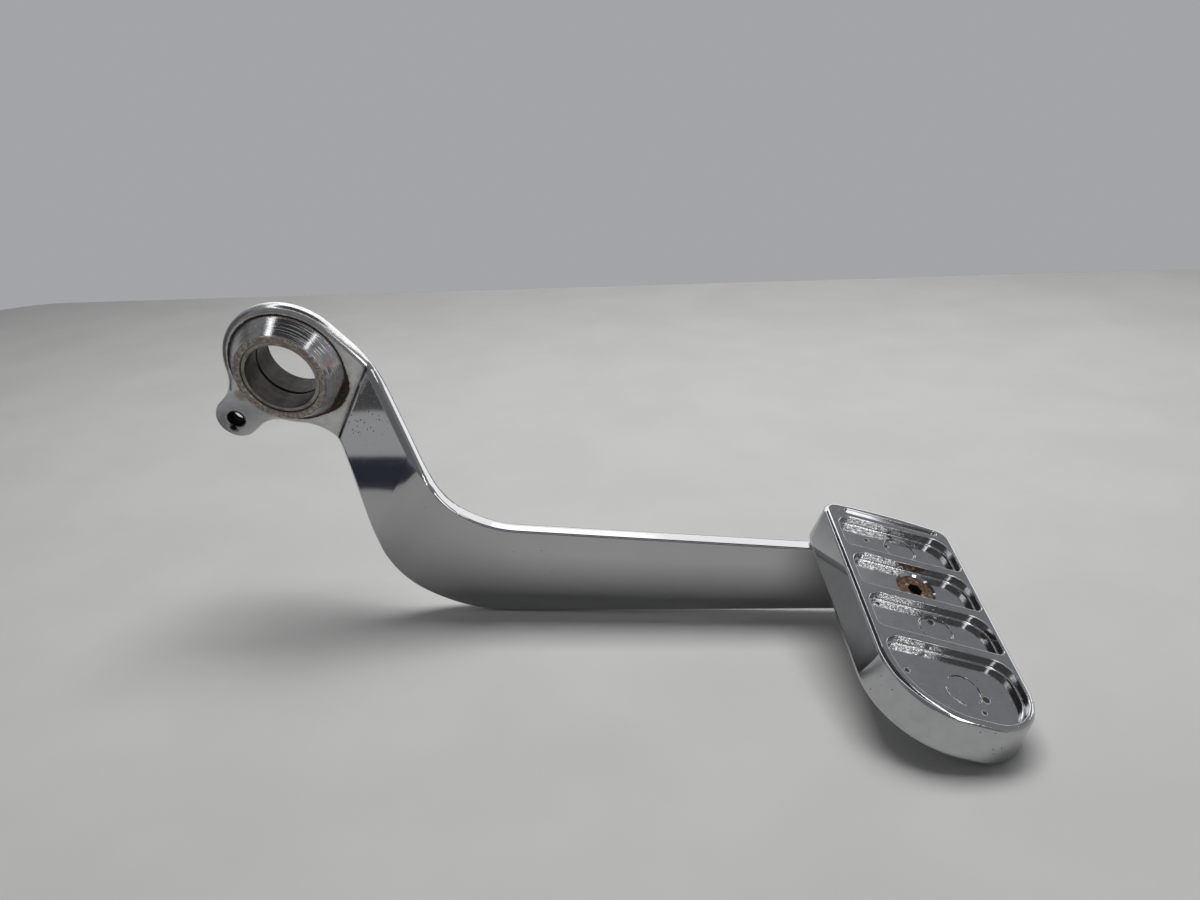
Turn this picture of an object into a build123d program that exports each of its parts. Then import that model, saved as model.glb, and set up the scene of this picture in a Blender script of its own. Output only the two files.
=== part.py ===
from build123d import *
import math
import os

# Rear brake pedal, in millimetres.
# Origin at the centre of the pivot bore. Y is the pivot axis, outboard towards -Y.
# X runs from the pivot to the foot pad, and Z is up.

# Pivot sleeve and bushes
BORE_DIAMETER = 22.0
BUSH_WALL = 1.2
BUSH_LENGTH = 8.4
BUSH_RECESS = 0.8
SLEEVE_LENGTH = 19.6
SLEEVE_WALL = 3.0
COLLAR_HEIGHT = 6.3
COLLAR_BASE_DIAMETER = 36.0
COLLAR_END_DIAMETER = 28.6
MOUTH_CHAMFER = 0.3
LEAD_LENGTH = 3.0
LEAD_DEPTH = 2.1

# Lever plate
PLATE_THICKNESS = 5.2
OUTBOARD_ROUND = 0.7
INBOARD_ROUND = 2.3
POLISH_ROUND = 1.9
POLISH_FADE = 2.5
EYE_DIAMETER = 41.6

# Ear with its hole
EAR_X = -22.7
EAR_Z = -18.9
EAR_DIAMETER = 14.2
EAR_HOLE_DIAMETER = 5.2
EAR_BLEND_UPPER = 14.0
EAR_BLEND_LOWER = 10.0
EAR_STEP = 0.6
EAR_STEP_DIAMETER = 45.0

# Joggle: a slanted stretch between two parallel folds sets the arm outboard of the eye
CREASE_ANGLE = 60.3
CREASE_DISTANCE = 21.8
JOGGLE_OFFSET = 18.0
JOGGLE_RUN = 33.0
CREASE_ROUND = 5.0
CREASE_BACK_ROUND = 33.0
RIDGE_ROUND = 45.0

# Arm outline, seen from outboard
NECK_ANGLE = 40.0
NECK_LENGTH = 16.8
SHOULDER_RADIUS = 70.0
KNEE_X = 51.3
KNEE_Z = -48.2
KNEE_RADIUS = 31.0
HEEL_X = 28.0
HEEL_Z = -85.6
HEEL_RADIUS = 47.0
BACK_ANGLE = 73.4
CROTCH_RADIUS = 14.0
ARM_TOP_SLOPE = 3.4
ARM_BOTTOM_SLOPE = 2.3
ARM_END_X = 189.0
ARM_END_RADIUS = 6.0

# Foot pad, in a plane that slopes down away from the pivot
PAD_SLOPE = 18.0
PAD_THICKNESS = 12.0
PAD_START_X = 161.0
PAD_AXIS_REACH = 20.8
PAD_WIDTH = 40.3
PAD_SPLAY = 9.1
PAD_INNER_REACH = 11.0
PAD_INNER_BOW = 1.2
PAD_OUTER_REACH = 65.0
PAD_INNER_RADIUS = 4.5
PAD_OUTER_RADIUS_NEAR = 22.0
PAD_OUTER_RADIUS_FAR = 13.5
PAD_DRAFT = 7.5
PAD_END_DRAFT = 13.0
PAD_BASE_INNER_RADIUS = 9.0
PAD_BASE_RADIUS_NEAR = 25.0
PAD_BASE_RADIUS_FAR = 16.5
PAD_TOP_ROUND = 1.3
PAD_BOTTOM_ROUND = 1.6

# Recesses and thin groove in the top of the pad
RECESS_COUNT = 4
RECESS_RIB = 2.7
RECESS_LAST_STRAIGHT = 0.33
RECESS_DEPTH = 2.8
RECESS_RIM_INNER = 6.3
RECESS_RIM_NEAR = 3.0
RECESS_RIM_FAR = 1.8
RECESS_RIM_END = 2.0
RECESS_RADIUS_NEAR = 4.0
RECESS_RADIUS_FAR = 7.0
RECESS_RADIUS_FRONT = 1.8
RECESS_BASE_ROUND = 0.6
RECESS_EDGE_ROUND = 0.3
GROOVE_LENGTH = 29.6
GROOVE_WIDTH = 1.8
GROOVE_DEPTH = 0.9
GROOVE_INSET = 3.4

# Round casting marks in the middle of some recess floors, beside the pad's long axis
MARKED_RECESSES = (0, 2, 3)
MARK_DIAMETER = 9.4
MARK_DEPTH = 0.12
MARK_BESIDE_AXIS = 2.3

# Foot plate under the pad
FOOT_WALL_NEAR = 9.1
FOOT_WALL_FAR = 5.2
FOOT_BEYOND_SCREW = 17.1
FOOT_THICKNESS = 5.5
FOOT_CORNER_RADIUS = 4.0
FOOT_CLEARANCE = 0.4
FOOT_ROOT = 4.0
FOOT_COVE = 3.0

# Pad screw
SCREW_RECESS = 1
SCREW_ALONG = 25.5
SCREW_DIAMETER = 6.0
SCREW_CLEARANCE = 0.3
THREAD_CLEARANCE = 0.05
SCREW_SINK = 0.6
SINK_DIAMETER = 11.8
SCREW_LENGTH = 8.0
SOCKET_SIZE = 4.0
SOCKET_DEPTH = 2.4

# Worked out from the sizes above
BORE_RADIUS = BORE_DIAMETER / 2
BUSH_RADIUS = BORE_RADIUS + BUSH_WALL
SLEEVE_RADIUS = BUSH_RADIUS + SLEEVE_WALL
SLEEVE_HALF = SLEEVE_LENGTH / 2
EYE_RADIUS = EYE_DIAMETER / 2
EYE_FACE_Y = COLLAR_HEIGHT - SLEEVE_HALF
ARM_FACE_Y = EYE_FACE_Y - JOGGLE_OFFSET
LEVER_SPAN = 300.0


def polar(angle, length):
    """Step in a flat outline, the angle counted from its x towards its y."""
    return (length * math.cos(math.radians(angle)), length * math.sin(math.radians(angle)))


def side_vector(angle):
    """Unit vector in the XZ plane, the angle counted from X towards Z."""
    return (math.cos(math.radians(angle)), 0, math.sin(math.radians(angle)))


def step(point, angle, length):
    """The point reached from another by a step."""
    dx, dy = polar(angle, length)
    return (point[0] + dx, point[1] + dy)


def crossing(point_a, angle_a, point_b, angle_b):
    """Where two lines cross, each given by a point and an angle."""
    ax, ay = polar(angle_a, 1)
    bx, by = polar(angle_b, 1)
    gap_x = point_b[0] - point_a[0]
    gap_y = point_b[1] - point_a[1]
    along = (gap_x * by - gap_y * bx) / (ax * by - ay * bx)
    return step(point_a, angle_a, along)


def round_corner(sketch, point, radius):
    """Round the corner of a flat outline that lies nearest to a point."""
    corner = min(sketch.vertices(), key=lambda v: math.dist((v.X, v.Y), point))
    return fillet(corner, radius)


def turned(points):
    """A body turned about the Y axis from (radius, y) points."""
    return revolve(make_face(Polyline(*points, close=True)), Axis.Y)


def tube(inner, outer, y_start, length):
    """A plain tube on the Y axis."""
    y_end = y_start + length
    return turned([(inner, y_start), (outer, y_start), (outer, y_end), (inner, y_end)])


# Pivot sleeve and bushes
collar_end = COLLAR_END_DIAMETER / 2
sleeve_points = [
    (BUSH_RADIUS, MOUTH_CHAMFER - SLEEVE_HALF),
    (BUSH_RADIUS + MOUTH_CHAMFER, -SLEEVE_HALF),
    (collar_end, -SLEEVE_HALF),
    (COLLAR_BASE_DIAMETER / 2, EYE_FACE_Y),
    (SLEEVE_RADIUS, EYE_FACE_Y),
    (SLEEVE_RADIUS, SLEEVE_HALF - LEAD_LENGTH),
    (SLEEVE_RADIUS - LEAD_DEPTH, SLEEVE_HALF),
    (BUSH_RADIUS + MOUTH_CHAMFER, SLEEVE_HALF),
    (BUSH_RADIUS, SLEEVE_HALF - MOUTH_CHAMFER),
]
pivot_sleeve = turned(sleeve_points)
outer_bush = tube(BORE_RADIUS, BUSH_RADIUS, BUSH_RECESS - SLEEVE_HALF, BUSH_LENGTH)
inner_bush = tube(BORE_RADIUS, BUSH_RADIUS, SLEEVE_HALF - BUSH_RECESS - BUSH_LENGTH, BUSH_LENGTH)

# Corners of the arm outline
neck = polar(NECK_ANGLE, EYE_RADIUS)
shoulder = step(neck, NECK_ANGLE - 90, NECK_LENGTH)
knee = (KNEE_X, KNEE_Z)
heel = (HEEL_X, HEEL_Z)
pad_start = crossing(knee, -ARM_TOP_SLOPE, (PAD_START_X, 0), 90)
tip_top = crossing(pad_start, -PAD_SLOPE, (ARM_END_X, 0), 90)
tip_bottom = crossing(heel, ARM_BOTTOM_SLOPE, (ARM_END_X, 0), 90)
back_top = crossing(heel, 180 - BACK_ANGLE, (0, 0), 90 - BACK_ANGLE)
crotch = step(back_top, -BACK_ANGLE, EYE_RADIUS)

# Ear: a disc joined to the eye by a straight web
ear = (EAR_X, EAR_Z)
ear_angle = math.degrees(math.atan2(EAR_Z, EAR_X))
ear_reach = math.dist((0, 0), ear)
web = Rot(0, 0, ear_angle) * Pos(ear_reach / 2, 0) * Rectangle(ear_reach, EAR_DIAMETER)
web_spread = math.degrees(math.asin(EAR_DIAMETER / 2 / EYE_RADIUS))
ear_disc = Pos(*ear) * Circle(EAR_DIAMETER / 2)

# Outline of the whole lever
arm = make_face(
    Polyline(back_top, neck, shoulder, knee, pad_start, tip_top, tip_bottom, heel, close=True)
)
arm = round_corner(arm, shoulder, SHOULDER_RADIUS)
arm = round_corner(arm, knee, KNEE_RADIUS)
arm = round_corner(arm, heel, HEEL_RADIUS)
arm = round_corner(arm, tip_bottom, ARM_END_RADIUS)
outline = Circle(EYE_RADIUS) + arm + web + ear_disc
outline = round_corner(outline, crotch, CROTCH_RADIUS)
outline = round_corner(outline, polar(ear_angle + web_spread, EYE_RADIUS), EAR_BLEND_LOWER)
outline = round_corner(outline, polar(ear_angle - web_spread, EYE_RADIUS), EAR_BLEND_UPPER)

# Joggled band: local x runs square to the folds, local y outboard
fold_x, fold_z = polar(CREASE_ANGLE - 90, CREASE_DISTANCE)
fold_plane = Plane(
    origin=(fold_x, 0, fold_z),
    x_dir=side_vector(CREASE_ANGLE - 90),
    z_dir=side_vector(CREASE_ANGLE + 180),
)
joggle_angle = math.atan2(JOGGLE_OFFSET, JOGGLE_RUN)
fold_shift = PLATE_THICKNESS * math.tan(joggle_angle / 2)
eye_side = -EYE_FACE_Y
arm_side = -ARM_FACE_Y
band_points = [
    (-LEVER_SPAN, eye_side),
    (0, eye_side),
    (JOGGLE_RUN, arm_side),
    (LEVER_SPAN, arm_side),
    (LEVER_SPAN, arm_side - PLATE_THICKNESS),
    (JOGGLE_RUN + fold_shift, arm_side - PLATE_THICKNESS),
    (fold_shift, eye_side - PLATE_THICKNESS),
    (-LEVER_SPAN, eye_side - PLATE_THICKNESS),
]
band = make_face(Polyline(*band_points, close=True))
band = round_corner(band, band_points[1], CREASE_ROUND)
band = round_corner(band, band_points[2], RIDGE_ROUND)
band = round_corner(band, band_points[5], RIDGE_ROUND - PLATE_THICKNESS)
band = round_corner(band, band_points[6], CREASE_BACK_ROUND)
band = extrude(fold_plane * band, LEVER_SPAN, both=True)
outline_prism = extrude(Plane.XZ * outline, LEVER_SPAN, both=True)
lever = outline_prism & band


def rim_edges(body, outboard):
    """Edges where the plate's outboard or inboard side meets its rim."""
    sign = -1 if outboard else 1
    faces = [f for f in body.faces() if f.normal_at(f.center()).Y * sign > 0.5]
    edges = [e for f in faces for e in f.edges()]
    return [e for e in edges if sum(e.is_same(other) for other in edges) == 1]


lever = fillet(rim_edges(lever, True), OUTBOARD_ROUND)
lever = fillet(rim_edges(lever, False), INBOARD_ROUND)

# The rim is polished rounder on the eye and the neck: a second plate shape with that larger round
# rises clear of the arm, so that the round fades out at the knee
polish_run = JOGGLE_RUN * (JOGGLE_OFFSET + POLISH_FADE) / JOGGLE_OFFSET
polish_points = [
    (-LEVER_SPAN, eye_side),
    (0, eye_side),
    (polish_run, arm_side + POLISH_FADE),
    (LEVER_SPAN, arm_side + POLISH_FADE),
    (LEVER_SPAN, -LEVER_SPAN),
    (-LEVER_SPAN, -LEVER_SPAN),
]
polish = make_face(Polyline(*polish_points, close=True))
polish = round_corner(polish, polish_points[1], CREASE_ROUND)
polish = round_corner(polish, polish_points[2], RIDGE_ROUND)
polish = extrude(fold_plane * polish, LEVER_SPAN, both=True) & outline_prism
polish = fillet(rim_edges(polish, True), POLISH_ROUND)
lever = lever & polish

# Holes in the lever, and the shallow step of the ear's face round the eye
drill = Rot(90, 0, 0)
eye_hole = drill * Cylinder(SLEEVE_RADIUS, LEVER_SPAN)
ear_hole = Pos(EAR_X, 0, EAR_Z) * drill * Cylinder(EAR_HOLE_DIAMETER / 2, LEVER_SPAN)
step_ring = Circle(ear_reach + EAR_DIAMETER) - Circle(EAR_STEP_DIAMETER / 2)
step_side = EAR_DIAMETER * 2
step_sector = Rot(0, 0, ear_angle) * Pos(ear_reach, 0) * Rectangle(step_side, step_side)
step_plane = Plane.XZ.offset(-EYE_FACE_Y - EAR_STEP)
ear_step = extrude(step_plane * (step_ring & step_sector), SLEEVE_LENGTH)
lever = lever - eye_hole - ear_hole - ear_step

# Pad plane: local x runs down the slope, local y inboard, local z out of the pad's top
pad_plane = Plane(
    origin=(pad_start[0], ARM_FACE_Y, pad_start[1]),
    x_dir=side_vector(-PAD_SLOPE),
    z_dir=side_vector(90 - PAD_SLOPE),
)

# Row of recesses: the last one follows the pad's outer end, and the others share what is left
pad_half = PAD_WIDTH / 2
splay_cosine = polar(PAD_SPLAY, 1)[0]
end_radius_near = PAD_OUTER_RADIUS_NEAR - RECESS_RIM_END
end_radius_far = PAD_OUTER_RADIUS_FAR - RECESS_RIM_END
blunt_reach = end_radius_near * math.tan(math.radians(45 - PAD_SPLAY / 2))
sharp_reach = RECESS_RADIUS_NEAR * math.tan(math.radians(45 + PAD_SPLAY / 2))
last_length = (blunt_reach + sharp_reach + RECESS_LAST_STRAIGHT) * splay_cosine
recess_start = PAD_INNER_REACH - RECESS_RIM_INNER
recess_end = RECESS_RIM_END - PAD_OUTER_REACH
recess_pitch = (recess_start - recess_end - last_length) / (RECESS_COUNT - 1)
recess_length = recess_pitch - RECESS_RIB


def recess_span(index):
    """Inboard and outboard ends of one recess of the row."""
    inboard = recess_start - index * recess_pitch
    outboard = recess_end if index == RECESS_COUNT - 1 else inboard - recess_length
    return inboard, outboard


# The screw sits in the middle of its recess, and the foot plate reaches past it
screw_y = sum(recess_span(SCREW_RECESS)) / 2
foot_start = PAD_AXIS_REACH - pad_half / splay_cosine + FOOT_WALL_NEAR
foot_end = PAD_AXIS_REACH + pad_half / splay_cosine - FOOT_WALL_FAR
foot_outer = screw_y - FOOT_BEYOND_SCREW


def block(x_start, x_end, y_start, y_end, z_start, z_end):
    """A box in the pad plane, given by its limits."""
    size = (x_end - x_start, y_end - y_start, z_end - z_start)
    centre = ((x_start + x_end) / 2, (y_start + y_end) / 2, (z_start + z_end) / 2)
    return Pos(*centre) * Box(*size)


def foot_block(clearance):
    """The foot plate, or the hollow for it, with rounded upright corners."""
    body = block(
        foot_start - clearance,
        foot_end + clearance,
        foot_outer - clearance,
        PLATE_THICKNESS + clearance,
        0,
        FOOT_THICKNESS,
    )
    corners = body.edges().filter_by(Axis.Z).group_by(Axis.Y)[0]
    return fillet(corners, FOOT_CORNER_RADIUS + clearance)


# Foot plate: its root runs down into the arm's thickness, and a cove joins it to the arm's face
root_block = block(foot_start, foot_end, 0, PLATE_THICKNESS, -FOOT_ROOT, FOOT_THICKNESS)
foot_root = pad_plane * root_block & outline_prism
cove_end = (ARM_END_X - pad_start[0]) / polar(PAD_SLOPE, 1)[0] - FOOT_ROOT
cove_block = block(foot_start, cove_end, -FOOT_COVE, 0, -FOOT_COVE, 0)
cove_rod = Pos(foot_start, -FOOT_COVE, -FOOT_COVE) * Rot(0, 90, 0) * Cylinder(FOOT_COVE, LEVER_SPAN)
foot_cove = pad_plane * (cove_block - cove_rod)
thread_hole = Pos(SCREW_ALONG, screw_y) * Cylinder(
    SCREW_DIAMETER / 2 + THREAD_CLEARANCE, LEVER_SPAN
)
pedal_lever = lever + pad_plane * foot_block(0) + foot_root + foot_cove - pad_plane * thread_hole


def pad_shape(near_half, far_half, y_outboard, y_inboard, radii, bow=0.0):
    """Outline between splayed sides, the near one towards the pivot, with rounded corners."""
    side = PAD_SPLAY - 90
    near = (PAD_AXIS_REACH - near_half / splay_cosine, 0)
    far = (PAD_AXIS_REACH + far_half / splay_cosine, 0)
    inner_near = crossing(near, side, (0, y_inboard - bow), 0)
    inner_far = crossing(far, side, (0, y_inboard - bow), 0)
    outer_far = crossing(far, side, (0, y_outboard), 0)
    outer_near = crossing(near, side, (0, y_outboard), 0)
    inner_middle = ((inner_near[0] + inner_far[0]) / 2, y_inboard)
    inner_edge = ThreePointArc(inner_near, inner_middle, inner_far) if bow else Line(inner_near, inner_far)
    shape = make_face([inner_edge, Polyline(inner_far, outer_far, outer_near, inner_near)])
    for corner, radius in zip((inner_near, inner_far, outer_far, outer_near), radii):
        shape = round_corner(shape, corner, radius)
    return shape


# Pad body, drafted towards its top
side_growth = PAD_THICKNESS * math.tan(math.radians(PAD_DRAFT))
end_growth = PAD_THICKNESS * math.tan(math.radians(PAD_END_DRAFT))
pad_radii = (PAD_INNER_RADIUS, PAD_INNER_RADIUS, PAD_OUTER_RADIUS_FAR, PAD_OUTER_RADIUS_NEAR)
base_radii = (PAD_BASE_INNER_RADIUS, PAD_BASE_INNER_RADIUS, PAD_BASE_RADIUS_FAR, PAD_BASE_RADIUS_NEAR)
pad_top = pad_shape(pad_half, pad_half, -PAD_OUTER_REACH, PAD_INNER_REACH, pad_radii, PAD_INNER_BOW)
pad_base = pad_shape(
    pad_half + side_growth,
    pad_half + side_growth,
    -PAD_OUTER_REACH - end_growth,
    PAD_INNER_REACH + side_growth,
    base_radii,
    PAD_INNER_BOW,
)
pad = loft([pad_base, Pos(0, 0, PAD_THICKNESS) * pad_top], ruled=True)
pad = fillet(pad.edges().group_by(Axis.Z)[-1], PAD_TOP_ROUND)
pad = fillet(pad.edges().group_by(Axis.Z)[0], PAD_BOTTOM_ROUND)


def recess(index):
    """One recess of the row, the last one following the pad's outer end, its floor edge rounded."""
    y_inboard, y_outboard = recess_span(index)
    radii = [RECESS_RADIUS_NEAR, RECESS_RADIUS_FAR, RECESS_RADIUS_FRONT, RECESS_RADIUS_FRONT]
    if index == RECESS_COUNT - 1:
        radii[2] = end_radius_far
        radii[3] = end_radius_near
    shape = pad_shape(pad_half - RECESS_RIM_NEAR, pad_half - RECESS_RIM_FAR, y_outboard, y_inboard, radii)
    cutter = extrude(Plane.XY.offset(PAD_THICKNESS - RECESS_DEPTH) * shape, RECESS_DEPTH * 2)
    return fillet(cutter.edges().group_by(Axis.Z)[0], RECESS_BASE_ROUND)


groove_shape = Pos(PAD_AXIS_REACH, PAD_INNER_REACH - GROOVE_INSET) * SlotOverall(
    GROOVE_LENGTH, GROOVE_WIDTH
)
pad = pad - extrude(Plane.XY.offset(PAD_THICKNESS - GROOVE_DEPTH) * groove_shape, PAD_THICKNESS)
for index in range(RECESS_COUNT):
    pad = pad - recess(index)
top_rims = pad.faces().sort_by(Axis.Z)[-1].inner_wires()
pad = fillet([edge for rim in top_rims for edge in rim.edges()], RECESS_EDGE_ROUND)

# Countersunk hole and screw share one cone of 90 degrees, turned about the screw's axis
recess_floor = PAD_THICKNESS - RECESS_DEPTH
sink_radius = SINK_DIAMETER / 2
hole_radius = SCREW_DIAMETER / 2 + SCREW_CLEARANCE
shank_radius = SCREW_DIAMETER / 2
screw_top = recess_floor - SCREW_SINK
head_radius = sink_radius - SCREW_SINK
sink_points = [
    (0, recess_floor),
    (sink_radius, recess_floor),
    (hole_radius, recess_floor - sink_radius + hole_radius),
    (hole_radius, 0),
    (0, 0),
]
screw_points = [
    (0, screw_top),
    (head_radius, screw_top),
    (shank_radius, screw_top - head_radius + shank_radius),
    (shank_radius, screw_top - SCREW_LENGTH),
    (0, screw_top - SCREW_LENGTH),
]
screw_place = Pos(SCREW_ALONG, screw_y, 0) * Rot(90, 0, 0)
sink = screw_place * turned(sink_points)
socket_plane = Plane.XY.offset(screw_top - SOCKET_DEPTH)
socket_shape = Pos(SCREW_ALONG, screw_y) * RegularPolygon(SOCKET_SIZE / 2, 6, major_radius=False)
socket = extrude(socket_plane * socket_shape, SOCKET_DEPTH)

# Casting marks, sunk just below the recess floors
for index in MARKED_RECESSES:
    mark_y = sum(recess_span(index)) / 2
    mark_x = PAD_AXIS_REACH + MARK_BESIDE_AXIS - mark_y * math.tan(math.radians(PAD_SPLAY))
    mark_plane = Plane((mark_x, mark_y, recess_floor - MARK_DEPTH))
    pad = pad - extrude(mark_plane * Circle(MARK_DIAMETER / 2), RECESS_DEPTH)

foot_pad = pad_plane * (pad - sink - foot_block(FOOT_CLEARANCE))
pad_screw = pad_plane * (screw_place * turned(screw_points) - socket)

# One file for each physical piece
os.makedirs("parts", exist_ok=True)
export_step(pedal_lever, "parts/pedal_lever.step")
export_step(pivot_sleeve, "parts/pivot_sleeve.step")
export_step(outer_bush, "parts/outer_bush.step")
export_step(inner_bush, "parts/inner_bush.step")
export_step(foot_pad, "parts/foot_pad.step")
export_step(pad_screw, "parts/pad_screw.step")
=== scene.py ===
import math

import bmesh
import bpy
from mathutils import Matrix, Quaternion, Vector

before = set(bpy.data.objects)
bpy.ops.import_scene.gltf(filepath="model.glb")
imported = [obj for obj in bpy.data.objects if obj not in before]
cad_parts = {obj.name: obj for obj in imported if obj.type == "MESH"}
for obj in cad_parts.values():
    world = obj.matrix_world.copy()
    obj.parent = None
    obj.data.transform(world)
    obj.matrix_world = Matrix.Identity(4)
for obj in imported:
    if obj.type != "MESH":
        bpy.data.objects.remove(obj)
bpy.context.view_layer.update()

# Places and lengths are in millimetres in the CAD frame, and MM turns them into metres
MM = 0.001
TO_MM = 1000.0

# Camera of the photograph
CAMERA_PLACE = (127.818, -233.574, 132.090)
CAMERA_FORWARD = (-0.11551, 0.81141, -0.57296)
CAMERA_ROLL = -4.499
CAMERA_LENS = 27.0
SENSOR_WIDTH = 36.0
CLIP_NEAR = 10.0
CLIP_FAR = 20000.0

# Floor: the pedal lies on the heel of its arm and the outer end of its pad
FLOOR_UP = Vector((-0.012, 0.2155, 0.9764)).normalized()
FLOOR_MIDDLE_X = 120.0
FLOOR_HALF_WIDTH = 640.0
FLOOR_FRONT = -190.0
FLOOR_BACK = 495.0
FLOOR_CORNER = 70.0
CORNER_STEPS = 8
FLOOR_COLOUR = (0.78, 0.775, 0.76)
FLOOR_DULL = 0.95

# Up in the studio: its walls, cards and ceiling lean a little from the floor
STUDIO_UP = Vector((0.02, 0.28402, 0.95882)).normalized()

# Ceiling ring of white strips round a dark middle, which only mirrors show
RING_MIDDLE_X = 145.0
RING_HALF = 350.0
RING_BACK = 325.0
RING_FRONT = -350.0
RING_HEIGHT = 500.0
RING_WIDTH = 75.0
RING_BACK_WIDTH = 120.0
RING_RADIANCE = 2.6
RING_BLUE = 1.03
FRONT_RADIANCE = 1.5
HOLE_HALF = 250.0
HOLE_RADIANCE = 0.06

# Soft lamp overhead, which lights the floor
LAMP_PLACE = (155.0, 160.0)
LAMP_SIZE = (640.0, 400.0)
LAMP_HEIGHT = 800.0
LAMP_RADIANCE = 5.5

# White panels behind the pedal and to its right: both ends on the floor, foot and top
PANEL_RADIANCE = 1.7
BACK_PANEL = ((-330.0, 420.0), (330.0, 420.0), 165.0, 500.0)
RIGHT_PANEL = ((375.0, 470.0), (640.0, 150.0), 95.0, 270.0)
NEAR_PANEL = ((205.0, 330.0), (330.0, 235.0), 92.0, 230.0)
KNEE_PANEL = ((105.0, 195.0), (205.0, 128.0), 140.0, 330.0)

# Small bright panel in front on the right, which the near ends of the recess walls mirror
GLINT_RADIANCE = 4.0
GLINT_PANEL = ((300.0, -150.0), (300.0, -330.0), 79.0, 190.0)

# Walls of the studio, from the horizon to the ceiling
WALL_LOW = (0.365, 0.372, 0.388)
WALL_HIGH = (0.27, 0.277, 0.29)
WALL_RISE = (0.15, 0.6)
FRONT_SHADE = 0.55
FRONT_RISE = (0.3, 0.8)
CEILING = (0.07, 0.07, 0.073)
CEILING_RISE = (0.72, 0.86)
WALL_LIGHT = 0.5

# Cards on the left, beside the picture: places along one line, and heights
CARD_PLACE = Vector((-76.0, -33.0))
CARD_ALONG = Vector((0.643, -0.766))
CARD_BACK = -70.0
CARD_FRONT = 18.0
CARD_POINT = 36.0
CARD_PIECE = (33.0, 52.0)
CARD_FOOT = 0.5
CARD_PIECE_TOP = 24.0
CARD_LOW_TOP = 16.3
CARD_GAP_TOP = 37.3
CARD_TOP = 150.0
PALE_PLACE = Vector((-80.6, -36.9))
PALE_FRONT = 33.0
PALE_HEIGHTS = (3.0, 40.0)

# Radiance of the cards
NAVY = (0.033, 0.038, 0.055)
DARK = (0.10, 0.10, 0.102)
PALE = (0.50, 0.505, 0.51)
WHITE = (PANEL_RADIANCE,) * 3
GLINT = (GLINT_RADIANCE,) * 3

# Pedal features that the materials follow, as in the CAD model
CREASE_ANGLE = 60.3
CREASE_DISTANCE = 21.8
EYE_FACE_Y = -3.5
COLLAR_BASE_RADIUS = 18.0
COLLAR_END_Y = -9.8
COLLAR_SLANT = 1.7
MOUTH_RADIUS = 12.5
BUSH_RADIUS = 12.2
EAR_HOLE = (-22.7, -2.9, -18.9)
EAR_HOLE_RADIUS = 2.6
PAD_ORIGIN = (161.0, -21.5, -54.717)
PAD_SLOPE = 18.0
PAD_SPLAY = 9.1
PAD_TOP = 12.0
RECESS_FLOOR = 9.2
LAST_RECESS_MIDDLE = (31.0, -50.0)
LAST_RECESS_START = -42.0
SCREW_PLACE = (25.5, -16.9)
SCREW_TOP = 8.6
SOCKET_RADIUS = 2.4

# Soft borders of the recesses: the first two from the pad's near side, the others inboard
RECESS_NEAR = (2.0, 2.6)
RECESS_FAR = (39.6, 40.2)
RECESS_OUTBOARD = (-63.6, -63.0)
RECESS_INBOARD = (5.2, 5.8)
BRIGHT_END = (13.0, 25.0)

# Places of rust, stains, chips and pits on the eye and the collar
RUST_PLACE = (15.6, EYE_FACE_Y, -10.0)
STAIN_PLACE = (-18.0, EYE_FACE_Y, -9.6)
CHIP_PLACE = (-24.6, EAR_HOLE[1], -22.2)
PITTED_PLACE = (21.0, EYE_FACE_Y, -13.0)
BASE_RUST_PLACE = (15.0, EYE_FACE_Y, -9.8)
SMEAR_PLACE = (15.4, -7.0, 3.8)
SCUFF_PLACE = (15.0, -8.3, 1.7)
SCRATCH_STRETCH = (0.03, 1.0, 1.0)

# Casting marks and dark specks on the recess floors: down the pad's slope and inboard, and radius
MARK_RADIUS = 4.7
CASTING_MARKS = ((23.3, -1.6), (28.2, -32.1), (31.4, -52.1))
FLOOR_SPECKS = (
    ((27.3, -29.6), 0.9),
    ((42.6, -29.8), 1.2),
    ((37.1, -53.5), 1.0),
    ((12.2, -27.6), 0.5),
    ((16.4, -50.0), 0.7),
    ((35.6, -58.0), 0.6),
    ((12.8, -0.8), 0.6),
    ((19.1, -1.1), 0.6),
    ((21.2, 3.8), 0.6),
)

# Colours of the bare materials, with painted shade in those of the recess walls and the bush bores
CHROME = (0.45, 0.453, 0.458, 1.0)
CHROME_EYE = (0.58, 0.582, 0.58, 1.0)
CHROME_DULL = (0.49, 0.49, 0.48, 1.0)
CHROME_PAD = (0.50, 0.505, 0.52, 1.0)
CHROME_PAD_DULL = (0.47, 0.475, 0.485, 1.0)
# Recess walls: oxidised plating, darkened further as painted shade
RECESS_OXIDE_AND_SHADE = (0.21, 0.205, 0.2, 1.0)
COLLAR_BRIGHT = (0.50, 0.50, 0.505, 1.0)
COLLAR_DULL = (0.40, 0.395, 0.39, 1.0)
COLLAR_END_BROWN = (0.30, 0.255, 0.21, 1.0)
COLLAR_END_GREY = (0.56, 0.54, 0.51, 1.0)
# Bore colours: near black, as painted shade inside the bores
BORE_SHADE_GREY = (0.026, 0.023, 0.021, 1.0)
BORE_SHADE_BROWN = (0.016, 0.013, 0.010, 1.0)
BUSH_STREAK = (0.06, 0.055, 0.05, 1.0)
BUSH_END = (0.40, 0.375, 0.34, 1.0)
SCREW_DARK = (0.055, 0.032, 0.02, 1.0)
SCREW_RUST = (0.23, 0.13, 0.075, 1.0)
SCREW_RUBBED = (0.45, 0.40, 0.35, 1.0)
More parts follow.
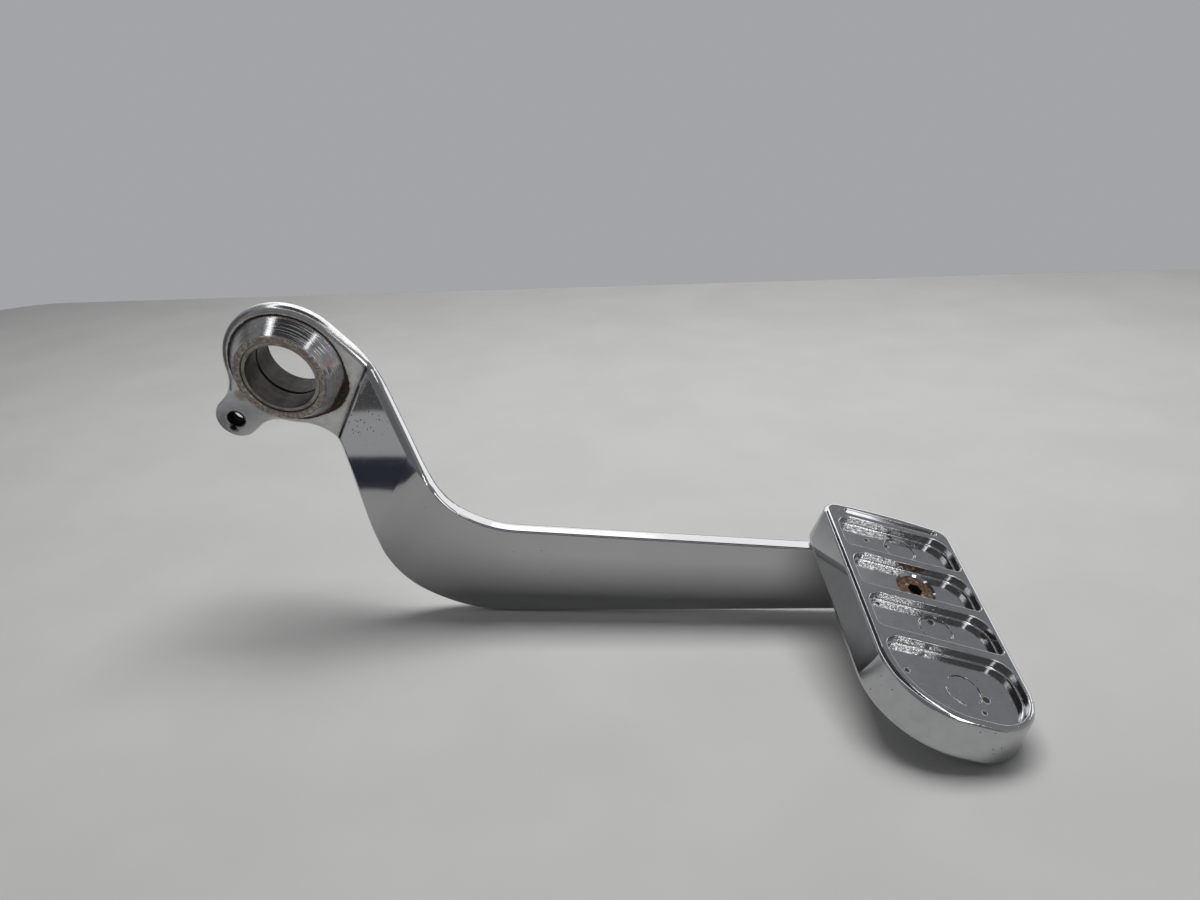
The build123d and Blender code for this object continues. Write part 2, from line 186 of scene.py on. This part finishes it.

# Colours of wear and dirt; the pit and grime colours also paint shade, in the arm's fold and the
# screw's socket
PIT_AND_SHADE = (0.035, 0.03, 0.026, 1.0)
RUST = (0.12, 0.062, 0.032, 1.0)
RUST_DARK = (0.022, 0.013, 0.009, 1.0)
RUST_PALE = (0.26, 0.17, 0.10, 1.0)
RUST_END = (0.15, 0.095, 0.06, 1.0)
SMEAR_RED = (0.42, 0.16, 0.14, 1.0)
GRIME_AND_SHADE = (0.012, 0.011, 0.010, 1.0)
CORRODED_DARK = (0.16, 0.14, 0.12, 1.0)
CORRODED_BRIGHT = (0.93, 0.92, 0.89, 1.0)
MARK_LINE = (0.12, 0.11, 0.10, 1.0)


class Graph:
    """A material's node tree, with short calls for the nodes that it needs."""

    def __init__(self, name):
        self.material = bpy.data.materials.new(name)
        self.material.use_nodes = True
        self.tree = self.material.node_tree
        self.shader = self.tree.nodes["Principled BSDF"]
        coordinates = self.node("ShaderNodeTexCoord")
        scaled = self.node("ShaderNodeVectorMath", operation="SCALE")
        self.put(scaled.inputs[0], coordinates.outputs["Object"])
        scaled.inputs["Scale"].default_value = TO_MM
        self.place = scaled.outputs[0]
        self.x, self.y, self.z = self.split(self.place)
        self.normal_x, self.normal_y, self.normal_z = self.split(coordinates.outputs["Normal"])

    def put(self, socket, value):
        """Set a socket to a value, or link it to another socket."""
        if isinstance(value, bpy.types.NodeSocket):
            self.tree.links.new(value, socket)
        else:
            socket.default_value = value

    def node(self, kind, **settings):
        made = self.tree.nodes.new(kind)
        for name, value in settings.items():
            setattr(made, name, value)
        return made

    def split(self, vector):
        made = self.node("ShaderNodeSeparateXYZ")
        self.put(made.inputs[0], vector)
        return made.outputs[0], made.outputs[1], made.outputs[2]

    def calc(self, operation, *values):
        """One step of arithmetic."""
        made = self.node("ShaderNodeMath", operation=operation)
        for socket, value in zip(made.inputs, values):
            self.put(socket, value)
        return made.outputs[0]

    def minus(self, first, second):
        return self.calc("SUBTRACT", first, second)

    def inverse(self, value):
        """What is left of 1."""
        return self.minus(1.0, value)

    def linear(self, value, factor, base):
        """A factor times a value, on top of a base."""
        return self.calc("MULTIPLY_ADD", value, factor, base)

    def size(self, value):
        """A number without its sign."""
        return self.calc("ABSOLUTE", value)

    def most(self, *values):
        made = values[0]
        for value in values[1:]:
            made = self.calc("MAXIMUM", made, value)
        return made

    def product(self, *values):
        made = values[0]
        for value in values[1:]:
            made = self.calc("MULTIPLY", made, value)
        return made

    def along(self, direction, origin=(0, 0, 0)):
        """Distance along a direction, from a point."""
        made = self.node("ShaderNodeVectorMath", operation="DOT_PRODUCT")
        self.put(made.inputs[0], self.place)
        made.inputs[1].default_value = direction
        start = sum(a * b for a, b in zip(direction, origin))
        return self.minus(made.outputs["Value"], start)

    def length(self, x, y, z):
        """Length of a step with these three parts."""
        joined = self.node("ShaderNodeCombineXYZ")
        for socket, value in zip(joined.inputs, (x, y, z)):
            self.put(socket, value)
        made = self.node("ShaderNodeVectorMath", operation="LENGTH")
        self.put(made.inputs[0], joined.outputs[0])
        return made.outputs["Value"]

    def away(self, point):
        """Distance from a point."""
        made = self.node("ShaderNodeVectorMath", operation="DISTANCE")
        self.put(made.inputs[0], self.place)
        made.inputs[1].default_value = point
        return made.outputs["Value"]

    def rise(self, value, start, end, low=0.0, high=1.0):
        """A smooth step from low to high as a value goes from start to end."""
        made = self.node("ShaderNodeMapRange", interpolation_type="SMOOTHSTEP")
        self.put(made.inputs["Value"], value)
        self.put(made.inputs["From Min"], start)
        self.put(made.inputs["From Max"], end)
        self.put(made.inputs["To Min"], low)
        self.put(made.inputs["To Max"], high)
        return made.outputs["Result"]

    def fall(self, value, start, end):
        """A smooth step from 1 to 0."""
        return self.rise(value, start, end, 1.0, 0.0)

    def noise(self, scale, detail, vector=None, kind="3D"):
        """Cloudy numbers from 0 to 1, the scale in waves for each millimetre."""
        made = self.node("ShaderNodeTexNoise", noise_dimensions=kind)
        source = self.place if vector is None else vector
        self.put(made.inputs["W" if kind == "1D" else "Vector"], source)
        made.inputs["Scale"].default_value = scale
        made.inputs["Detail"].default_value = detail
        return made.outputs[0]

    def pits(self, scale, size, share):
        """Sparse round pits: the size is in cells, the share is that of cells with one."""
        made = self.node("ShaderNodeTexVoronoi")
        self.put(made.inputs["Vector"], self.place)
        made.inputs["Scale"].default_value = scale
        chance = self.split(made.outputs["Color"])[0]
        spot = self.fall(made.outputs["Distance"], size * 0.5, size)
        return self.product(spot, self.calc("LESS_THAN", chance, share))

    def scratches(self, scale):
        """Fine lines along X."""
        made = self.node("ShaderNodeVectorMath", operation="MULTIPLY")
        self.put(made.inputs[0], self.place)
        made.inputs[1].default_value = SCRATCH_STRETCH
        return self.rise(self.noise(scale, 3.0, made.outputs[0]), 0.6, 0.72)

    def mix(self, factor, first, second):
        """One colour, or another where the factor is 1."""
        made = self.node("ShaderNodeMix", data_type="RGBA")
        self.put(made.inputs[0], factor)
        self.put(made.inputs[6], first)
        self.put(made.inputs[7], second)
        return made.outputs[2]

    def blend(self, factor, first, second):
        """One number, or another where the factor is 1."""
        made = self.node("ShaderNodeMix", data_type="FLOAT")
        self.put(made.inputs[0], factor)
        self.put(made.inputs[2], first)
        self.put(made.inputs[3], second)
        return made.outputs[0]

    def bump(self, height, depth, under=None):
        """Relief from a height of 0 to 1, its depth in millimetres."""
        made = self.node("ShaderNodeBump")
        made.inputs["Strength"].default_value = 1.0
        made.inputs["Distance"].default_value = depth * MM
        self.put(made.inputs["Height"], height)
        if under is not None:
            self.put(made.inputs["Normal"], under)
        return made.outputs[0]

    def finish(self, colour, metallic, roughness, normal):
        """The material with its four main inputs."""
        looks = {"Base Color": colour, "Metallic": metallic, "Roughness": roughness, "Normal": normal}
        for name, value in looks.items():
            self.put(self.shader.inputs[name], value)
        return self.material


class PadGraph(Graph):
    """A node tree that follows the pad: down its slope, inboard and out of its top."""

    def __init__(self, name):
        super().__init__(name)
        slope = math.radians(PAD_SLOPE)
        self.cosine = math.cos(slope)
        self.sine = math.sin(slope)
        self.down = self.along((self.cosine, 0, -self.sine), PAD_ORIGIN)
        self.inboard = self.minus(self.y, PAD_ORIGIN[1])
        self.height = self.along((self.sine, 0, self.cosine), PAD_ORIGIN)

    def beside(self, place):
        """Distance from a place, along the pad's top."""
        return self.length(self.minus(self.down, place[0]), self.minus(self.inboard, place[1]), 0)


def chromed_steel():
    """Polished chrome on the arm, satin and pitted on the eye, with rust where the collar meets it and
    painted shade in the fold.
    """
    g = Graph("chromed_steel_worn_and_shaded")
    crease = math.radians(CREASE_ANGLE - 90)
    across = g.along((math.cos(crease), 0, math.sin(crease)))
    eye_side = g.fall(across, CREASE_DISTANCE - 0.6, CREASE_DISTANCE + 0.3)
    face = g.fall(g.normal_y, -0.98, -0.9)
    radius = g.length(g.x, 0, g.z)
    patches = g.noise(0.35, 4.0)
    grain = g.noise(2.2, 3.0)

    # Rust round the collar, thickest at its lower right, and the stain above the ear
    lower_right = g.fall(g.away(RUST_PLACE), 2.0, 12.0)
    ring_edge = g.linear(lower_right, 1.2, COLLAR_BASE_RADIUS + 0.15)
    ring_edge = g.linear(g.noise(0.8, 3.0), 0.7, ring_edge)
    ring_gap = g.minus(radius, ring_edge)
    ring = g.product(g.fall(ring_gap, -0.1, 0.25), eye_side, face)
    halo = g.product(g.fall(ring_gap, 0.0, 1.6), g.most(lower_right, 0.35), eye_side, face, 0.5)
    stain = g.fall(g.linear(grain, -2.6, g.away(STAIN_PLACE)), -0.6, 1.6)
    stain = g.product(stain, 0.55, face)

    # Grime and chipped plating round the ear's hole
    hole = g.length(g.minus(g.x, EAR_HOLE[0]), 0, g.minus(g.z, EAR_HOLE[2]))
    hole_edge = g.linear(grain, -1.6, hole)
    rim = g.fall(hole_edge, EAR_HOLE_RADIUS - 0.6, EAR_HOLE_RADIUS + 0.25)
    chip = g.fall(g.linear(grain, -2.6, g.away(CHIP_PLACE)), -0.6, 0.9)
    grime = g.product(g.most(rim, chip), eye_side)

    # Pits: many near the fold, few elsewhere
    pitted = g.fall(g.away(PITTED_PLACE), 4.0, 15.0)
    many_pits = g.product(g.pits(0.8, 0.26, 0.6), pitted)
    few_pits = g.pits(0.42, 0.07, 0.35)
    pits = g.most(many_pits, few_pits)

    # Painted shade: a dark line in the fold, on the faces that look outboard
    fold_shade = g.fall(g.size(g.minus(across, CREASE_DISTANCE + 0.2)), 0.15, 0.75)
    outboard = g.fall(g.normal_y, -0.85, -0.8)
    fold_shade = g.product(fold_shade, outboard, g.rise(g.noise(0.25, 2.0), 0.2, 0.5, 0.35, 0.9))

    scratch = g.scratches(1.6)
    eye_colour = g.mix(g.rise(patches, 0.35, 0.75), CHROME_EYE, CHROME_DULL)
    colour = g.mix(eye_side, CHROME, eye_colour)
    colour = g.mix(g.product(scratch, 0.12), colour, CHROME_DULL)
    colour = g.mix(g.most(halo, stain), colour, RUST_PALE)
    colour = g.mix(fold_shade, colour, PIT_AND_SHADE)
    colour = g.mix(pits, colour, PIT_AND_SHADE)
    colour = g.mix(ring, colour, g.mix(g.rise(grain, 0.48, 0.68), RUST_DARK, RUST))
    colour = g.mix(grime, colour, GRIME_AND_SHADE)

    worn = g.most(ring, grime, pits, g.product(stain, 0.6))
    mirror = g.linear(scratch, 0.05, 0.075)
    satin = g.linear(g.noise(0.7, 3.0), 0.12, 0.16)
    roughness = g.blend(worn, g.blend(eye_side, mirror, satin), 0.6)
    metallic = g.linear(g.most(worn, g.product(grime, 1.4)), -0.7, 1.0)
    normal = g.bump(g.noise(0.045, 1.0), 0.1)
    normal = g.bump(g.product(g.noise(1.1, 2.0), eye_side, face), 0.008, normal)
    normal = g.bump(g.inverse(worn), 0.05, normal)
    g.put(g.shader.inputs["Specular IOR Level"], g.linear(grime, -0.5, 0.5))
    return g.finish(colour, metallic, roughness, normal)


def turned_steel():
    """Turned collar with fine rings, rusty on its outboard end, at its base and in patches inboard."""
    g = Graph("turned_steel_worn")
    radius = g.length(g.x, 0, g.z)
    end = g.fall(g.y, COLLAR_END_Y + 0.15, COLLAR_END_Y + 0.5)
    slant = g.minus(radius, g.product(g.y, COLLAR_SLANT))
    rings = g.noise(1.9, 2.0, slant, "1D")
    fine = g.noise(7.0, 2.0, slant, "1D")
    patches = g.noise(0.5, 4.0)
    grain = g.noise(2.0, 3.0)

    # Rust at the base, on the outboard end and inboard of the eye
    base_reach = g.linear(g.fall(g.away(BASE_RUST_PLACE), 2.0, 8.0), 1.7, -0.25)
    above_base = g.minus(EYE_FACE_Y, g.y)
    base_gap = g.linear(grain, -1.2, g.minus(above_base, base_reach))
    base_rust = g.fall(base_gap, -0.7, 0.4)
    inboard = g.rise(g.y, 0.5, 2.5)
    patchy = g.product(inboard, g.rise(g.noise(0.3, 5.0), 0.35, 0.8), 0.75)
    base_rust = g.most(g.product(base_rust, g.inverse(inboard)), patchy)
    end_rust = g.product(end, g.rise(g.noise(0.9, 4.0), 0.3, 0.6))

    # Red smear and dark scuff on the right of the collar, and grime in its mouth
    smear = g.product(g.fall(g.away(SMEAR_PLACE), 0.8, 2.6), g.rise(fine, 0.42, 0.6))
    scuff = g.product(g.fall(g.away(SCUFF_PLACE), 0.6, 2.0), g.rise(rings, 0.45, 0.55))
    mouth = g.fall(g.linear(grain, -0.4, radius), MOUTH_RADIUS - 0.6, MOUTH_RADIUS - 0.35)

    colour = g.mix(g.rise(patches, 0.35, 0.7), COLLAR_BRIGHT, COLLAR_DULL)
    colour = g.mix(g.product(smear, 0.7), colour, SMEAR_RED)
    colour = g.mix(scuff, colour, GRIME_AND_SHADE)
    colour = g.mix(end, colour, g.mix(g.rise(grain, 0.35, 0.6), COLLAR_END_BROWN, COLLAR_END_GREY))
    colour = g.mix(g.product(end_rust, 0.6), colour, RUST_END)
    colour = g.mix(mouth, colour, GRIME_AND_SHADE)
    colour = g.mix(base_rust, colour, g.mix(g.rise(grain, 0.45, 0.65), RUST_DARK, RUST))

    worn = g.most(base_rust, g.product(end, 0.6), scuff, mouth)
    roughness = g.blend(worn, g.linear(fine, 0.12, 0.06), 0.55)
    metallic = g.linear(worn, -0.6, 1.0)
    normal = g.bump(rings, 0.07)
    normal = g.bump(fine, 0.012, normal)
    normal = g.bump(g.product(grain, g.most(end, base_rust)), 0.08, normal)
    return g.finish(colour, metallic, roughness, normal)


def bush_steel():
    """Worn bush bores with fine streaks round them, their near-black colour painted shade inside the
    bores.
    """
    g = Graph("bush_steel_worn_and_shaded")
    streaks = g.noise(3.5, 3.0, g.linear(g.noise(0.3, 2.0), 0.6, g.y), "1D")
    patches = g.noise(0.4, 4.0)
    end = g.fall(g.normal_y, -0.9, -0.8)
    radius = g.length(g.x, 0, g.z)
    seam = g.rise(g.linear(patches, 0.4, radius), BUSH_RADIUS, BUSH_RADIUS + 0.2)

    # Painted shade: the bores are coloured near black, their end faces lighter
    colour = g.mix(g.rise(patches, 0.35, 0.7), BORE_SHADE_GREY, BORE_SHADE_BROWN)
    colour = g.mix(g.product(g.rise(streaks, 0.5, 0.7), 0.5), colour, BUSH_STREAK)
    colour = g.mix(g.product(end, g.rise(patches, 0.3, 0.6, 0.5, 1.0)), colour, BUSH_END)
    colour = g.mix(seam, colour, GRIME_AND_SHADE)

    roughness = g.blend(seam, g.linear(patches, 0.25, 0.3), 0.8)
    metallic = g.linear(seam, -0.8, 0.9)
    normal = g.bump(streaks, 0.02)
    return g.finish(colour, metallic, roughness, normal)


def chromed_casting():
    """Polished pad with corroded recess walls, darkened by oxide and by painted shade, and casting
    marks on the recess floors.
    """
    g = PadGraph("chromed_casting_worn_and_shaded")
    facing_up = g.linear(g.normal_z, g.cosine, g.product(g.normal_x, g.sine))
    facing_down = g.minus(g.product(g.normal_x, g.cosine), g.product(g.normal_z, g.sine))
    grain = g.noise(2.4, 4.0)
    patches = g.noise(0.3, 3.0)

    # Recess walls lie below the top, above the floors and well inside the rim
    from_near = g.linear(g.inboard, math.tan(math.radians(PAD_SPLAY)), g.down)
    inside = g.product(
        g.rise(from_near, *RECESS_NEAR),
        g.fall(from_near, *RECESS_FAR),
        g.rise(g.inboard, *RECESS_OUTBOARD),
        g.fall(g.inboard, *RECESS_INBOARD),
    )
    above_floor = g.rise(g.height, RECESS_FLOOR - 0.3, RECESS_FLOOR + 0.1)
    below_top = g.fall(g.height, PAD_TOP - 0.25, PAD_TOP - 0.02)
    depth = g.product(above_floor, below_top)
    outward = g.product(facing_down, g.minus(g.down, LAST_RECESS_MIDDLE[0]))
    outward = g.linear(g.normal_y, g.minus(g.inboard, LAST_RECESS_MIDDLE[1]), outward)
    in_last = g.fall(g.inboard, LAST_RECESS_START - 0.5, LAST_RECESS_START)
    rim_side = g.product(g.rise(outward, 0.0, 2.0), in_last)
    wall = g.product(inside, depth, g.fall(facing_up, 0.75, 0.97), g.inverse(rim_side))

    # Recess floors, with ring marks of the casting and dark specks
    at_floor = g.fall(g.height, RECESS_FLOOR + 0.02, RECESS_FLOOR + 0.4)
    bottom = g.product(inside, at_floor, g.rise(facing_up, 0.9, 0.99))
    rings = 0.0
    for place in CASTING_MARKS:
        line = g.fall(g.size(g.minus(g.beside(place), MARK_RADIUS)), 0.08, 0.32)
        rings = g.most(rings, line)
    rings = g.product(rings, inside, g.rise(g.noise(0.35, 2.0), 0.4, 0.55))
    specks = 0.0
    for place, radius in FLOOR_SPECKS:
        edge = g.linear(grain, -0.6, g.beside(place))
        specks = g.most(specks, g.fall(edge, radius - 0.5, radius))
    specks = g.product(specks, bottom)
    pits = g.most(g.pits(0.5, 0.1, 0.4), specks)

    # Corrosion: bright and grainy at the near ends of the walls that face outboard
    sparkle = g.noise(2.3, 3.0)
    near_end = g.fall(from_near, *BRIGHT_END)
    outboard = g.fall(g.normal_y, -0.2, 0.2)
    corroded = g.product(wall, g.rise(g.noise(0.25, 2.0), 0.3, 0.5), g.most(near_end, 0.12))
    corroded = g.product(corroded, g.most(outboard, 0.3))

    colour = g.mix(g.rise(patches, 0.35, 0.7), CHROME_PAD, CHROME_PAD_DULL)
    # Recess walls darker away from their near ends: oxidised plating, deepened by painted shade
    colour = g.mix(g.product(wall, 0.6, g.inverse(near_end)), colour, RECESS_OXIDE_AND_SHADE)
    colour = g.mix(g.product(corroded, g.fall(sparkle, 0.36, 0.48)), colour, CORRODED_DARK)
    colour = g.mix(g.product(corroded, g.rise(sparkle, 0.5, 0.56)), colour, CORRODED_BRIGHT)
    colour = g.mix(g.product(rings, 0.7), colour, MARK_LINE)
    colour = g.mix(pits, colour, PIT_AND_SHADE)

    roughness = g.blend(corroded, g.linear(bottom, 0.04, 0.07), 0.14)
    roughness = g.blend(pits, roughness, 0.6)
    metallic = g.linear(pits, -0.7, 1.0)
    normal = g.bump(g.noise(0.06, 1.0), 0.05)
    normal = g.bump(g.product(sparkle, corroded), 0.16, normal)
    normal = g.bump(g.inverse(g.most(rings, pits)), 0.06, normal)
    return g.finish(colour, metallic, roughness, normal)


def rusty_screw():
    """Rusty screw head with bright rubbed spots and a socket painted dark as shade."""
    g = PadGraph("rusty_screw_worn_and_shaded")
    grain = g.noise(1.6, 5.0)
    rubbed = g.rise(g.noise(0.9, 3.0), 0.6, 0.68)
    # Painted shade: the socket is coloured near black below its rim
    in_socket = g.fall(g.beside(SCREW_PLACE), SOCKET_RADIUS, SOCKET_RADIUS + 0.1)
    socket = g.product(in_socket, g.fall(g.height, SCREW_TOP - 0.4, SCREW_TOP - 0.05))

    colour = g.mix(g.rise(grain, 0.35, 0.65), SCREW_DARK, SCREW_RUST)
    colour = g.mix(rubbed, colour, SCREW_RUBBED)
    colour = g.mix(socket, colour, GRIME_AND_SHADE)

    bright = g.product(rubbed, g.inverse(socket))
    roughness = g.linear(bright, -0.4, 0.72)
    metallic = g.linear(bright, 0.7, 0.25)
    normal = g.bump(grain, 0.2)
    return g.finish(colour, metallic, roughness, normal)


def dress(node, material):
    """Give a CAD node its material."""
    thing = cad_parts[node]
    if not thing.material_slots:
        thing.data.materials.append(material)
    for slot in thing.material_slots:
        slot.material = material


bushes = bush_steel()
dress("pedal_lever", chromed_steel())
dress("pivot_sleeve", turned_steel())
dress("outer_bush", bushes)
dress("inner_bush", bushes)
dress("foot_pad", chromed_casting())
dress("pad_screw", rusty_screw())


class Level:
    """Right along the pedal, away from the camera and up from the pedal's lowest point."""

    def __init__(self, up):
        self.up = up
        self.away = up.cross(Vector((1, 0, 0))).normalized()
        self.right = self.away.cross(up)
        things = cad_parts.values()
        self.lowest = min(up.dot(v.co) for thing in things for v in thing.data.vertices)

    def at(self, right, away, up=0.0):
        """A place in metres."""
        flat = self.right * (right * MM) + self.away * (away * MM)
        return flat + self.up * (self.lowest + up * MM)


floor = Level(FLOOR_UP)
studio = Level(STUDIO_UP)


def stage_mesh(name, corners, material):
    """A flat stage piece from its corners."""
    mesh = bpy.data.meshes.new(name)
    shape = bmesh.new()
    shape.faces.new([shape.verts.new(corner) for corner in corners])
    shape.to_mesh(mesh)
    shape.free()
    thing = bpy.data.objects.new(name, mesh)
    bpy.context.collection.objects.link(thing)
    mesh.materials.append(material)
    return thing


def floor_material():
    """Pale matt sheet, seen only from above."""
    g = Graph("pale_floor")
    pale = FLOOR_COLOUR + (1.0,)
    dull = tuple(FLOOR_DULL * c for c in FLOOR_COLOUR) + (1.0,)
    g.put(g.shader.inputs["Base Color"], g.mix(g.rise(g.noise(0.02, 4.0), 0.3, 0.7), pale, dull))
    g.shader.inputs["Roughness"].default_value = 0.9
    g.shader.inputs["Specular IOR Level"].default_value = 0.2
    clear = g.node("ShaderNodeBsdfTransparent")
    seen = g.node("ShaderNodeNewGeometry")
    choice = g.node("ShaderNodeMixShader")
    g.put(choice.inputs[0], seen.outputs["Backfacing"])
    g.put(choice.inputs[1], g.shader.outputs[0])
    g.put(choice.inputs[2], clear.outputs[0])
    g.put(g.tree.nodes["Material Output"].inputs["Surface"], choice.outputs[0])
    return g.material


def card_material(name, radiance):
    """Plain card, dark or bright by its radiance alone."""
    material = bpy.data.materials.new(name)
    material.use_nodes = True
    shader = material.node_tree.nodes["Principled BSDF"]
    shader.inputs["Base Color"].default_value = (0.0, 0.0, 0.0, 1.0)
    shader.inputs["Roughness"].default_value = 1.0
    shader.inputs["Specular IOR Level"].default_value = 0.0
    shader.inputs["Emission Color"].default_value = radiance + (1.0,)
    shader.inputs["Emission Strength"].default_value = 1.0
    return material


def card(name, corners, radiance):
    """A card outside the picture, seen in reflections only."""
    thing = stage_mesh(name, corners, card_material(name, radiance))
    thing.visible_camera = False
    thing.visible_diffuse = False
    thing.visible_shadow = False


def standing(name, start, end, low, high, radiance, point=None):
    """An upright card between two places on the floor, its foot perhaps reaching on to a point."""
    corners = [(start, low), (end if point is None else point, low), (end, high), (start, high)]
    card(name, [studio.at(place[0], place[1], up) for place, up in corners], radiance)


def ceiling(name, middle_x, middle_y, half_x, half_y, radiance):
    """A level card at the height of the ring."""
    signs = [(-1, -1), (-1, 1), (1, 1), (1, -1)]
    places = [(middle_x + half_x * a, middle_y + half_y * b) for a, b in signs]
    corners = [studio.at(*place, RING_HEIGHT) for place in places]
    card(name, corners, (radiance, radiance, radiance * RING_BLUE))


def card_place(along, start=CARD_PLACE):
    """A place on the line of the left cards."""
    return start + CARD_ALONG * along


# Floor sheet with round corners
outline = []
left = FLOOR_MIDDLE_X - FLOOR_HALF_WIDTH + FLOOR_CORNER
right = FLOOR_MIDDLE_X + FLOOR_HALF_WIDTH - FLOOR_CORNER
front = FLOOR_FRONT + FLOOR_CORNER
back = FLOOR_BACK - FLOOR_CORNER
for x, y, start in ((right, front, -90), (right, back, 0), (left, back, 90), (left, front, 180)):
    for index in range(CORNER_STEPS + 1):
        turn = math.radians(start + 90 * index / CORNER_STEPS)
        outline.append(floor.at(x + FLOOR_CORNER * math.cos(turn), y + FLOOR_CORNER * math.sin(turn)))
stage_mesh("floor", outline, floor_material())

# Cards on the left: two navy ones low down, a dark one above and a pale one behind them
card_back = card_place(CARD_BACK)
card_front = card_place(CARD_FRONT)
piece_back, piece_front = (card_place(along) for along in CARD_PIECE)
pale_back = card_place(CARD_BACK, PALE_PLACE)
pale_front = card_place(PALE_FRONT, PALE_PLACE)
standing("left_card_low", card_back, card_front, CARD_FOOT, CARD_LOW_TOP, NAVY, card_place(CARD_POINT))
standing("left_card_piece", piece_back, piece_front, CARD_FOOT, CARD_PIECE_TOP, NAVY)
standing("left_card_high", card_back, card_front, CARD_GAP_TOP, CARD_TOP, DARK)
standing("left_card_pale", pale_back, pale_front, *PALE_HEIGHTS, PALE)

# White panels, and the ring under the ceiling
standing("back_panel", *BACK_PANEL, WHITE)
standing("right_panel", *RIGHT_PANEL, WHITE)
standing("near_panel", *NEAR_PANEL, WHITE)
standing("knee_panel", *KNEE_PANEL, WHITE)
standing("glint_panel", *GLINT_PANEL, GLINT)
ceiling("ceiling_hole", RING_MIDDLE_X, 0, HOLE_HALF, HOLE_HALF, HOLE_RADIANCE)
ceiling("ring_back", RING_MIDDLE_X, RING_BACK, RING_HALF, RING_BACK_WIDTH / 2, RING_RADIANCE)
ceiling("ring_front", RING_MIDDLE_X, RING_FRONT, RING_HALF, RING_WIDTH / 2, FRONT_RADIANCE)
ceiling("ring_left", RING_MIDDLE_X - RING_HALF, 0, RING_WIDTH / 2, RING_HALF, RING_RADIANCE)
ceiling("ring_right", RING_MIDDLE_X + RING_HALF, 0, RING_WIDTH / 2, RING_HALF, RING_RADIANCE)

# Overhead lamp that points straight down, its long side along the pedal
lamp_data = bpy.data.lights.new("overhead_lamp", "AREA")
lamp_data.shape = "RECTANGLE"
lamp_data.size = LAMP_SIZE[0] * MM
lamp_data.size_y = LAMP_SIZE[1] * MM
lamp_data.energy = LAMP_RADIANCE * math.pi * lamp_data.size * lamp_data.size_y
lamp = bpy.data.objects.new("overhead_lamp", lamp_data)
bpy.context.collection.objects.link(lamp)
lamp.location = floor.at(*LAMP_PLACE, LAMP_HEIGHT)
lamp.rotation_mode = "QUATERNION"
lamp.rotation_quaternion = Matrix((floor.right, floor.away, floor.up)).transposed().to_quaternion()
lamp.visible_camera = False
lamp.visible_glossy = False

# Pale studio walls all round, darker towards the ceiling and on the open front
world = bpy.data.worlds.new("studio")
bpy.context.scene.world = world
world.use_nodes = True
tree = world.node_tree
background = tree.nodes["Background"]
direction = tree.nodes.new("ShaderNodeTexCoord").outputs["Generated"]


def world_step(axis, start, end):
    """A smooth step along an axis of the view directions."""
    climb = tree.nodes.new("ShaderNodeVectorMath")
    climb.operation = "DOT_PRODUCT"
    climb.inputs[1].default_value = axis
    tree.links.new(direction, climb.inputs[0])
    step = tree.nodes.new("ShaderNodeMapRange")
    step.interpolation_type = "SMOOTHSTEP"
    step.inputs["From Min"].default_value = start
    step.inputs["From Max"].default_value = end
    tree.links.new(climb.outputs["Value"], step.inputs["Value"])
    return step.outputs["Result"]


def world_mix(factor, first, second):
    """One colour, or another where the factor is 1."""
    shade = tree.nodes.new("ShaderNodeMix")
    shade.data_type = "RGBA"
    tree.links.new(factor, shade.inputs[0])
    for socket, value in ((shade.inputs[6], first), (shade.inputs[7], second)):
        if isinstance(value, bpy.types.NodeSocket):
            tree.links.new(value, socket)
        else:
            socket.default_value = value + (1.0,)
    return shade.outputs[2]


walls = world_mix(world_step(studio.up, *WALL_RISE), WALL_LOW, WALL_HIGH)
front_wall = tuple(FRONT_SHADE * c for c in WALL_LOW)
walls = world_mix(world_step(-studio.away, *FRONT_RISE), walls, front_wall)
walls = world_mix(world_step(studio.up, *CEILING_RISE), walls, CEILING)
tree.links.new(walls, background.inputs["Color"])

# The picture and the mirrors show the walls as they are, and matt surfaces get less of their light
path = tree.nodes.new("ShaderNodeLightPath")
shown = path.outputs["Is Camera Ray"]
for kind in ("Is Glossy Ray", "Is Transmission Ray"):
    either = tree.nodes.new("ShaderNodeMath")
    either.operation = "MAXIMUM"
    tree.links.new(shown, either.inputs[0])
    tree.links.new(path.outputs[kind], either.inputs[1])
    shown = either.outputs[0]
strength = tree.nodes.new("ShaderNodeMapRange")
strength.inputs["To Min"].default_value = WALL_LIGHT
tree.links.new(shown, strength.inputs["Value"])
tree.links.new(strength.outputs["Result"], background.inputs["Strength"])

# Camera at the photograph's place
camera_data = bpy.data.cameras.new("camera")
camera_data.lens = CAMERA_LENS
camera_data.sensor_width = SENSOR_WIDTH
camera_data.clip_start = CLIP_NEAR * MM
camera_data.clip_end = CLIP_FAR * MM
camera = bpy.data.objects.new("camera", camera_data)
bpy.context.collection.objects.link(camera)
camera.location = Vector(CAMERA_PLACE) * MM
camera.rotation_mode = "QUATERNION"
looking = Vector(CAMERA_FORWARD).to_track_quat("-Z", "Y")
camera.rotation_quaternion = looking @ Quaternion((0, 0, 1), math.radians(CAMERA_ROLL))
bpy.context.scene.camera = camera
bpy.context.scene.view_settings.view_transform = "Standard"
